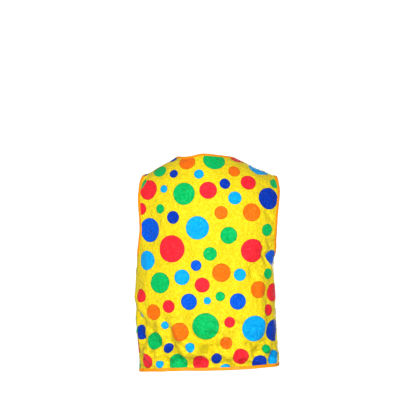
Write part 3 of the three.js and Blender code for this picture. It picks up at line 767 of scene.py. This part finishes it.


# Woven polyester satin, printed: long floating threads give a soft sheen with faint streaks down
# the cloth, and handling leaves it finely mottled. Pale strokes mixed towards white are painted
# highlights, where handled threads catch the light. The patches of deeper colour, stronger
# towards the hem, are painted shade: they stand in for the shadows of small folds that aren't
# modelled. The wrong side is dull, with the print showing through it paler.
def makeSatin(name, wrongSide):
    material = newMaterial(name)
    shader = material.node_tree.nodes["Principled BSDF"]
    place = addNode(material, "ShaderNodeAttribute", {"attribute_name": "flatPlace"}, {})
    edge = addNode(material, "ShaderNodeAttribute", {"attribute_name": "spotEdge"}, {})
    colour = addNode(material, "ShaderNodeAttribute", {"attribute_name": "spotColour"}, {})
    threads = addNode(material, "ShaderNodeMapping", {}, {
        "Vector": place.outputs["Vector"],
        "Scale": (1 / satinSizes["threadStep"], 1 / satinSizes["threadLength"], 1),
    })
    streaks = addNode(material, "ShaderNodeTexNoise", {}, {
        "Vector": threads.outputs["Vector"], "Scale": 1.0, "Detail": 3.0, "Roughness": 0.6,
    })
    dents = addNode(material, "ShaderNodeTexNoise", {}, {
        "Vector": place.outputs["Vector"], "Scale": 1 / satinSizes["mottle"], "Detail": 3.0,
        "Roughness": 0.6, "Distortion": 0.6,
    })
    brushed = addNode(material, "ShaderNodeTexNoise", {}, {
        "Vector": place.outputs["Vector"], "Scale": 1 / satinSizes["brush"], "Detail": 2.0,
        "Roughness": 0.55, "Distortion": 1.2,
    })
    # Painted highlights: slanting strokes where the colour is mixed towards white, for threads that catch
    # the light
    slanted = addNode(material, "ShaderNodeMapping", {}, {
        "Vector": place.outputs["Vector"], "Rotation": (0, 0, 0.5),
        "Scale": (1 / satinSizes["highlightLong"], 1 / satinSizes["highlightWide"], 1),
    })
    highlightNoise = addNode(material, "ShaderNodeTexNoise", {}, {
        "Vector": slanted.outputs["Vector"], "Scale": 1.0, "Detail": 3.0, "Roughness": 0.6,
        "Distortion": 0.8,
    })
    inSpot = addNode(material, "ShaderNodeMapRange", {"interpolation_type": "SMOOTHSTEP"}, {
        "Value": edge.outputs["Fac"], "From Min": satinSizes["printBlur"],
        "From Max": -satinSizes["printBlur"], "To Min": 0.0, "To Max": 1.0,
    })
    rim = addNode(material, "ShaderNodeMapRange", {"interpolation_type": "SMOOTHSTEP"}, {
        "Value": edge.outputs["Fac"], "From Min": -satinSizes["rimWide"], "From Max": 0.2,
        "To Min": 1.0, "To Max": satinSizes["rimDark"],
    })
    ink = addNode(material, "ShaderNodeVectorMath", {"operation": "SCALE"}, {
        0: colour.outputs["Vector"], "Scale": rim.outputs["Result"],
    })
    ground = tuple(linear(satinSizes["wrongYellow" if wrongSide else "yellow"])) + (1,)
    dye = addNode(material, "ShaderNodeMix", {"data_type": "RGBA"}, {
        0: inSpot.outputs["Result"], 6: ground, 7: ink.outputs["Vector"],
    })
    if wrongSide:
        dye = addNode(material, "ShaderNodeMix", {"data_type": "RGBA"}, {
            0: satinSizes["printLost"], 6: dye.outputs[2], 7: ground,
        })
    paintedHighlights = addNode(material, "ShaderNodeMapRange", {"interpolation_type": "SMOOTHSTEP"}, {
        "Value": highlightNoise.outputs["Fac"], "From Min": 0.5, "From Max": 0.74,
        "To Min": 0.0, "To Max": satinSizes["highlightWhite"],
    })
    tone = addNode(material, "ShaderNodeMapRange", {}, {
        "Value": brushed.outputs["Fac"], "From Min": 0.3, "From Max": 0.7, "To Min": 0.88, "To Max": 1.06,
    })
    # Painted shade: slanting patches of deeper colour, growing deeper towards the hem, stand in for the
    # shadows of small folds that aren't modelled
    shadeMapping = addNode(material, "ShaderNodeMapping", {}, {
        "Vector": place.outputs["Vector"], "Rotation": (0, 0, 0.75),
        "Scale": (1 / satinSizes["shadePatchLong"], 1 / satinSizes["shadePatchWide"], 1),
    })
    shadeNoise = addNode(material, "ShaderNodeTexNoise", {}, {
        "Vector": shadeMapping.outputs["Vector"], "Scale": 1.0, "Detail": 2.0, "Roughness": 0.5,
        "Distortion": 0.5,
    })
    paintedShadePatch = addNode(material, "ShaderNodeMapRange", {"interpolation_type": "SMOOTHSTEP"}, {
        "Value": shadeNoise.outputs["Fac"], "From Min": 0.47, "From Max": 0.62,
        "To Min": 0.0, "To Max": 1.0,
    })
    # The painted shade is faint high up and deepest near the hem, by the distance down from the nape
    split = addNode(material, "ShaderNodeSeparateXYZ", {}, {"Vector": place.outputs["Vector"]})
    shadeTowardsHem = addNode(material, "ShaderNodeMapRange", {}, {
        "Value": split.outputs["Y"], "From Min": satinSizes["shadeFrom"],
        "From Max": satinSizes["shadeFull"],
        "To Min": satinSizes["shadeHigh"], "To Max": satinSizes["shadeLow"],
    })
    deep = addNode(material, "ShaderNodeMath", {"operation": "MULTIPLY"}, {
        0: paintedShadePatch.outputs["Result"], 1: shadeTowardsHem.outputs["Result"],
    })
    # The random tone of the brushed marks, less the painted shade
    toneLessShade = addNode(material, "ShaderNodeMath", {"operation": "SUBTRACT"}, {
        0: tone.outputs["Result"], 1: deep.outputs["Value"],
    })
    # The dye with the painted highlights mixed in, then scaled by the random tone and the painted shade
    withPaintedHighlights = addNode(material, "ShaderNodeMix", {"data_type": "RGBA"}, {
        0: paintedHighlights.outputs["Result"], 6: dye.outputs[2], 7: (1, 1, 1, 1),
    })
    shade = addNode(material, "ShaderNodeVectorMath", {"operation": "SCALE"}, {
        0: withPaintedHighlights.outputs[2], "Scale": toneLessShade.outputs["Value"],
    })
    sheen = addNode(material, "ShaderNodeMix", {"data_type": "RGBA"}, {
        0: satinSizes["ownTint"], 6: (1, 1, 1, 1), 7: shade.outputs["Vector"],
    })
    dull = addNode(material, "ShaderNodeMapRange", {}, {
        "Value": dents.outputs["Fac"], "From Min": 0.3, "From Max": 0.7,
        "To Min": satinSizes["roughness"] - 0.06, "To Max": satinSizes["roughness"] + 0.08,
    })
    threadBump = addNode(material, "ShaderNodeBump", {}, {
        "Height": streaks.outputs["Fac"], "Strength": 0.25, "Distance": 0.0004,
    })
    dentBump = addNode(material, "ShaderNodeBump", {}, {
        "Height": dents.outputs["Fac"], "Strength": 1.0, "Distance": 0.006,
        "Normal": threadBump.outputs["Normal"],
    })
    brushBump = addNode(material, "ShaderNodeBump", {}, {
        "Height": brushed.outputs["Fac"], "Strength": 0.6, "Distance": 0.0016,
        "Normal": dentBump.outputs["Normal"],
    })
    tree = material.node_tree
    tree.links.new(shade.outputs["Vector"], shader.inputs["Base Color"])
    tree.links.new(sheen.outputs[2], shader.inputs["Specular Tint"])
    tree.links.new(brushBump.outputs["Normal"], shader.inputs["Normal"])
    if wrongSide:
        shader.inputs["Roughness"].default_value = 0.75
    else:
        tree.links.new(dull.outputs["Result"], shader.inputs["Roughness"])
        shader.inputs["Sheen Weight"].default_value = 0.04
        shader.inputs["Sheen Roughness"].default_value = 0.4
    shader.inputs["Specular IOR Level"].default_value = satinSizes["specular"]
    shader.inputs["IOR"].default_value = 1.5
    return material


tapeColour = {"orange": "#fcae14", "deep": "#f98f08", "thread": "#ee7f04"}


# Satin bias tape, pressed and folded over the edge: a smooth narrow sheen, with slanting threads
# and small dents where the stitching draws it in
def makeTapeMaterial():
    material = newMaterial("satin_bias_tape")
    shader = material.node_tree.nodes["Principled BSDF"]
    place = addNode(material, "ShaderNodeTexCoord", {}, {})
    slant = addNode(material, "ShaderNodeMapping", {}, {
        "Vector": place.outputs["Object"], "Rotation": (0, 0.8, 0.6), "Scale": (500, 60, 500),
    })
    threads = addNode(material, "ShaderNodeTexNoise", {}, {
        "Vector": slant.outputs["Vector"], "Scale": 1.0, "Detail": 2.0,
    })
    patches = addNode(material, "ShaderNodeTexNoise", {}, {
        "Vector": place.outputs["Object"], "Scale": 60.0, "Detail": 3.0,
    })
    dye = addNode(material, "ShaderNodeMix", {"data_type": "RGBA"}, {
        0: patches.outputs["Fac"],
        6: tuple(linear(tapeColour["deep"])) + (1,),
        7: tuple(linear(tapeColour["orange"])) + (1,),
    })
    bump = addNode(material, "ShaderNodeBump", {}, {
        "Height": threads.outputs["Fac"], "Strength": 0.3, "Distance": 0.0004,
    })
    tree = material.node_tree
    tree.links.new(dye.outputs[2], shader.inputs["Base Color"])
    tree.links.new(bump.outputs["Normal"], shader.inputs["Normal"])
    shader.inputs["Roughness"].default_value = 0.45
    shader.inputs["Specular IOR Level"].default_value = 0.35
    return material


# Spun polyester sewing thread: dull, with a fine twist that breaks the light
def makeThreadMaterial():
    material = newMaterial("polyester_sewing_thread")
    shader = material.node_tree.nodes["Principled BSDF"]
    place = addNode(material, "ShaderNodeTexCoord", {}, {})
    twist = addNode(material, "ShaderNodeTexNoise", {}, {
        "Vector": place.outputs["Object"], "Scale": 1800.0, "Detail": 2.0,
    })
    dye = addNode(material, "ShaderNodeMix", {"data_type": "RGBA"}, {
        0: twist.outputs["Fac"],
        6: tuple(linear(tapeColour["thread"])) + (1,),
        7: tuple(linear(tapeColour["orange"])) + (1,),
    })
    material.node_tree.links.new(dye.outputs[2], shader.inputs["Base Color"])
    shader.inputs["Roughness"].default_value = 0.7
    return material


satin = makeSatin("printed_polyester_satin", False)
satinInside = makeSatin("polyester_satin_wrong_side", True)
tapeSatin = makeTapeMaterial()
threadMaterial = makeThreadMaterial()
print("materials made")

# The three panels
bodyRows = gridSizes["bodyRows"]
shoulderCells = gridSizes["shoulderCells"]
neckEnd = shoulderCells + gridSizes["neckCells"]

back = makePanel(
    True, backPlaces(),
    [lambda g: g[0], lambda g: g[bodyRows:, 0], lambda g: g[bodyRows:, -1],
     lambda g: g[-1, shoulderCells:neckEnd + 1]],
    [lambda g: g[:bodyRows + 1, 0], lambda g: g[:bodyRows + 1, -1],
     lambda g: g[-1, :shoulderCells + 1], lambda g: g[-1, neckEnd:]],
    [lambda g: g[bodyRows + 12:, 0], lambda g: g[bodyRows + 12:, -1]],
)
fronts = {}
for sideName, side in (("left", leftSide), ("right", rightSide)):
    fronts[sideName] = makePanel(
        False, frontPlaces(side),
        [lambda g: g[0], lambda g: g[:, 0], lambda g: g[bodyRows:, -1]],
        [lambda g: g[:bodyRows + 1, -1], lambda g: g[-1]],
        [lambda g: g[bodyRows + 12:, -1]],
    )
print("cloth shaped")

panelCuts = {
    "back": {"shift": None, "flat": (0.55, 0.67), "area": 0.33},
    "front_left": {"shift": (-8, 54.5), "flat": (0.275, 0.7), "area": 0.155},
    "front_right": {"shift": (6, 23.5), "flat": (0.275, 0.7), "area": 0.155},
}
panels = {"back": back, "front_left": fronts["left"], "front_right": fronts["right"]}
for nodeName, panel in panels.items():
    cut = panelCuts[nodeName]
    piece = clothPiece("satin_" + nodeName, panel, cut["shift"], [satin, satinInside])
    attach(piece, "root")
    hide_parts(nodeName)
print("panels made")

# The tape
tapeSizes = {
    "width": 9,             # mm that shows on the right side
    "underWidth": 9.6,      # the underside catches a little more
    "lift": 0.85,
    "step": 3.4,
    "probe": 6,             # mm in from the edge, to see on which side the cloth lies, and how near
    "probeGap": 4,
    "clothNear": 22,        # mm, how much cloth round a loop its tape is fitted to
}


# Edge points with their normals, taken from a panel's grid
def edgeOf(panel, pick):
    return panel["grid"][pick], panel["normals"][pick]


# Edges joined end to end: the points that two edges share are averaged
def joinEdges(edges):
    points, normals = edges[0]
    for nextPoints, nextNormals in edges[1:]:
        middle = (points[-1] + nextPoints[0]) / 2
        middleNormal = unit(normals[-1] + nextNormals[0])
        points = np.concatenate([points[:-1], [middle], nextPoints[1:]])
        normals = np.concatenate([normals[:-1], [middleNormal], nextNormals[1:]])
    middle = (points[-1] + points[0]) / 2
    points = np.concatenate([[middle], points[1:-1]])
    normals = np.concatenate([[unit(normals[-1] + normals[0])], normals[1:-1]])
    return points, normals


# A closed line resampled in even steps between its corners; the points next to a corner are left
# out so that the tape can be mitred there
def evenLoop(points, normals, corners):
    count = len(points)
    starts = corners if corners else [0]
    newPoints = []
    newNormals = []
    isCorner = []
    for k, start in enumerate(starts):
        stop = starts[(k + 1) % len(starts)]
        span = (stop - start) % count or count
        picks = (start + np.arange(span + 1)) % count
        run = points[picks]
        lengths = lengthsAlong(run)
        clear = tapeSizes["width"] * 1.08 if corners else 0
        inner = max(int((lengths[-1] - 2 * clear) / tapeSizes["step"]), 2)
        wanted = np.linspace(clear, lengths[-1] - clear, inner + 1)
        if corners:
            wanted = np.concatenate([[0], wanted])
        else:
            wanted = wanted[:-1]
        newPoints.append(np.stack([np.interp(wanted, lengths, run[:, c]) for c in range(3)], -1))
        runNormals = normals[picks]
        picked = np.stack([np.interp(wanted, lengths, runNormals[:, c]) for c in range(3)], -1)
        newNormals.append(unit(picked))
        flags = np.zeros(len(wanted), bool)
        flags[0] = bool(corners)
        isCorner.append(flags)
    return np.concatenate(newPoints), np.concatenate(newNormals), np.concatenate(isCorner)


# Points moved onto the cloth along its normals, by the plane of the nearest cloth point
def ontoCloth(points, clothPoints, clothNormals):
    found = np.empty_like(points)
    foundNormals = np.empty_like(points)
    for start in range(0, len(points), 2000):
        part = points[start:start + 2000]
        nearest = ((part[:, None] - clothPoints[None]) ** 2).sum(-1).argmin(1)
        normal = clothNormals[nearest]
        lift = ((part - clothPoints[nearest]) * normal).sum(-1, keepdims=True)
        found[start:start + 2000] = part - lift * normal
        foundNormals[start:start + 2000] = normal
    return found, foundNormals


# Tape folded over a closed edge. Its section is a U: distances in from the edge and lifts off the
# cloth, carried along the edge, with the points over the cloth set down on it.
def tapePiece(name, edges, corners, clothPoints, clothNormals):
    points, normals = joinEdges(edges)
    points, normals, isCorner = evenLoop(points, normals, corners)
    before = unit(points - np.roll(points, 1, axis=0))
    after = unit(np.roll(points, -1, axis=0) - points)
    inBefore = unit(np.cross(before, normals))
    inAfter = unit(np.cross(after, normals))
    inward = (inBefore + inAfter) / (1 + (inBefore * inAfter).sum(-1, keepdims=True))
    probe = points + inward * tapeSizes["probe"]
    nearGap = np.sqrt(((probe[::7, None] - clothPoints[None]) ** 2).sum(-1).min(1)).mean()
    if nearGap > tapeSizes["probeGap"]:
        inward = -inward
    wall = clothSizes["wall"]
    lift = tapeSizes["lift"]
    width = tapeSizes["width"]
    under = tapeSizes["underWidth"]
    section = np.array([
        [width, 0.06], [width, lift * 0.8], [width - 0.8, lift], [width - 3, lift * 0.95], [3, lift],
        [1.2, lift * 1.1], [0, lift * 0.9], [-0.8, lift * 0.35], [-1.05, -wall / 2],
        [-0.8, -wall - lift * 0.35], [0, -wall - lift * 0.9], [1.2, -wall - lift * 1.1],
        [3, -wall - lift], [under - 0.8, -wall - lift], [under, -wall - lift * 0.8], [under, -wall - 0.06],
        [4, -wall - 0.06], [0.1, -wall - 0.06], [-0.1, -wall / 2], [0.1, 0.06], [4, 0.06],
    ])
    along = lengthsAlong(points) * 2 * np.pi
    wave = np.sin(along / 9.5) + 0.7 * np.sin(along / 15.3)
    rows = []
    for reach, rise in section:
        base = points + inward * reach
        facing = normals
        if reach > 1:
            snapped, snappedNormals = ontoCloth(base, clothPoints, clothNormals)
            base = snapped
            facing = unit(normals + snappedNormals)
        ripple = 0.09 * wave * (abs(rise) > 0.2) * np.sign(rise + wall / 2)
        rows.append(base + facing * (rise + ripple)[:, None])
    grid = np.stack(rows, 1)
    faces = gridFaces(*grid.shape[:2], closedRows=True, closedColumns=True)
    piece = makeObject(name, grid.reshape(-1, 3), faces, [tapeSatin])
    corner = grid.reshape(-1, 3)[faces]
    turned = np.cross(corner[:, 1] - corner[:, 0], corner[:, 3] - corner[:, 0])
    volume = (corner[:, 0] * turned).sum()
    if volume < 0:
        piece.data.flip_normals()
    length = lengthsAlong(np.concatenate([points, points[:1]]))[-1]
    seat = (grid[:, 2] + grid[:, 3]) / 2
    return piece, length, seat, unit(grid[:, 2] - grid[:, 13])


stitchSizes = {
    "share": 0.76,        # of each step along the tape that its stitch takes up
    "thickness": 0.62,    # mm, thread drawn about twice as thick as it is so that it shows
    "rise": 0.14,
}


# A row of stitches along the line where they sit: each is a spindle of three square rings between
# two points of the line, square to the line and to the cloth
def stitchPiece(name, seat, up):
    ahead = np.roll(seat, -1, axis=0)
    steps = np.linalg.norm(ahead - seat, axis=-1)
    fits = (steps > 0.5 * tapeSizes["step"]) & (steps < 1.6 * tapeSizes["step"])
    start = seat[fits]
    way = (ahead - seat)[fits]
    lift = unit(up + np.roll(up, -1, axis=0))[fits]
    across = unit(np.cross(way, lift))
    halfGap = (1 - stitchSizes["share"]) / 2
    rings = []
    for share, size in ((halfGap, 0.35), (0.5, 1.0), (1 - halfGap, 0.35)):
        radius = stitchSizes["thickness"] / 2 * size
        middle = start + way * share + lift * stitchSizes["rise"]
        for a, b in ((1, 0), (0, 1), (-1, 0), (0, -1)):
            rings.append(middle + radius * (a * across + b * lift))
    points = np.stack(rings, 1)
    one = np.concatenate([gridFaces(3, 4, closedColumns=True), [[3, 2, 1, 0], [8, 9, 10, 11]]])
    faces = (np.arange(len(points))[:, None, None] * 12 + one[None]).reshape(-1, 4)
    corner = points[0][one]
    turned = np.cross(corner[:, 1] - corner[:, 0], corner[:, 3] - corner[:, 0])
    if ((corner.mean(1) - points[0].mean(0)) * turned).sum() < 0:
        faces = faces[:, ::-1]
    return makeObject(name, points.reshape(-1, 3), faces, [threadMaterial])


allPoints = np.concatenate([p["grid"].reshape(-1, 3) for p in panels.values()])
allNormals = np.concatenate([p["normals"].reshape(-1, 3) for p in panels.values()])

# The left and right loops go up the back and down the front; the outer one runs along the hem, up
# the left front, round the nape and down the right front
everyRow = slice(None)
armLoops = {}
for sideName, column in (("left", -1), ("right", 0)):
    armLoops[sideName] = [
        edgeOf(back, (slice(bodyRows, None), column)),
        edgeOf(fronts[sideName], (slice(None, bodyRows - 1, -1), -1)),
    ]
frontColumns = fronts["left"]["grid"].shape[1]
frontRows = fronts["left"]["grid"].shape[0]
backColumns = back["grid"].shape[1]
outerLoop = [
    edgeOf(back, (0, everyRow)),
    edgeOf(fronts["left"], (0, slice(None, None, -1))),
    edgeOf(fronts["left"], (everyRow, 0)),
    edgeOf(back, (-1, slice(neckEnd, shoulderCells - 1, -1))),
    edgeOf(fronts["right"], (slice(None, None, -1), 0)),
    edgeOf(fronts["right"], (0, everyRow)),
]
leftCorner = backColumns + frontColumns - 2
rightCorner = leftCorner + (frontRows - 1) + (neckEnd - shoulderCells) + (frontRows - 1)


# The cloth near a loop is all that its tape can lie on
def nearLoop(edges):
    line = np.concatenate([edge[0] for edge in edges])[::3]
    distance = fromEdge(allPoints, line)[0]
    near = distance < tapeSizes["clothNear"]
    return allPoints[near], allNormals[near]


tapeLoops = {
    "tape_armhole_left": (armLoops["left"], []),
    "tape_armhole_right": (armLoops["right"], []),
    "tape_outer_edge": (outerLoop, [leftCorner, rightCorner]),
}
for nodeName, (edges, corners) in tapeLoops.items():
    clothPoints, clothNormals = nearLoop(edges)
    piece, length, seat, up = tapePiece("satin_" + nodeName, edges, corners, clothPoints, clothNormals)
    stitches = stitchPiece("stitches_" + nodeName, seat, up)
    for part in (piece, stitches):
        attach(part, "root")
        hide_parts(nodeName)
    print(nodeName, "is", round(length), "mm long")
print("tape made")

# Floor, light and camera
stageSizes = {
    "floorHeight": -1.45,
    "floorRadius": 2.4,
    "floorColour": "#f4f4f2",
    "skyWhite": 0.3,
    "lightsMeet": (0, 0, -0.35),
}
# The key is small and nearly level with the eye, for the gloss in the middle of the back
lights = {
    "key": {"place": (0.1, 3.3, -0.35), "size": 0.36, "power": 36},
    "frontFill": {"place": (-1.1, -3.3, -0.1), "size": 2.4, "power": 36},
    "side": {"place": (0.3, 2.8, 0.9), "size": 1.5, "power": 43},
}
circle = np.linspace(0, 2 * np.pi, 97)[:-1]
floorRings = np.stack([
    np.stack([np.cos(circle) * r, np.sin(circle) * r, np.full_like(circle, stageSizes["floorHeight"])], -1)
    for r in np.linspace(0.05, stageSizes["floorRadius"], 9)
])
floorFaces = gridFaces(9, 96, closedColumns=True)[:, ::-1]
# Board painted matt: it has no gloss, so the floor stays a plain pale field
floorMaterial = newMaterial("painted_board")
floorMaterial.node_tree.nodes["Principled BSDF"].inputs["Base Color"].default_value = (
    *linear(stageSizes["floorColour"]), 1)
floorMaterial.node_tree.nodes["Principled BSDF"].inputs["Roughness"].default_value = 0.9
floor = makeObject("studio_floor", floorRings.reshape(-1, 3) / mm, floorFaces, [floorMaterial])

world = bpy.data.worlds.new("studio")
bpy.context.scene.world = world
world.use_nodes = True
skyNode = world.node_tree.nodes["Background"]
skyNode.inputs["Color"].default_value = (1, 1, 1, 1)
skyNode.inputs["Strength"].default_value = stageSizes["skyWhite"]
seenNode = addNode(world, "ShaderNodeBackground", {}, {"Color": (1, 1, 1, 1)})
rays = addNode(world, "ShaderNodeLightPath", {}, {})
chooser = addNode(world, "ShaderNodeMixShader", {}, {
    0: rays.outputs["Is Camera Ray"], 1: skyNode.outputs[0], 2: seenNode.outputs[0],
})
world.node_tree.links.new(chooser.outputs[0], world.node_tree.nodes["World Output"].inputs[0])


# An area light at a place, turned towards a target
def addLight(name, place, target, size, power):
    data = bpy.data.lights.new(name, "AREA")
    data.shape = "DISK"
    data.size = size
    data.energy = power
    lamp = bpy.data.objects.new(name, data)
    lamp.location = place
    way = unit(np.array(target, float) - np.array(place, float))
    lamp.rotation_euler = (np.arccos(-way[2]), 0, np.arctan2(-way[0], way[1]) if abs(way[2]) < 1 else 0)
    bpy.context.scene.collection.objects.link(lamp)


for name, light in lights.items():
    addLight(name, light["place"], stageSizes["lightsMeet"], light["size"], light["power"])

cameraSizes = {"x": 0.003, "y": 3.2, "z": -0.162, "lens": 92.31}    # metres, and mm on a 36 mm sensor
cameraData = bpy.data.cameras.new("camera")
cameraData.lens = cameraSizes["lens"]
camera = bpy.data.objects.new("camera", cameraData)
camera.location = (cameraSizes["x"], cameraSizes["y"], cameraSizes["z"])
camera.rotation_euler = (np.pi / 2, 0, np.pi)
bpy.context.scene.collection.objects.link(camera)
bpy.context.scene.camera = camera
bpy.context.scene.view_settings.view_transform = "Standard"
bpy.context.scene.view_settings.look = "Medium High Contrast"
print("stage set")
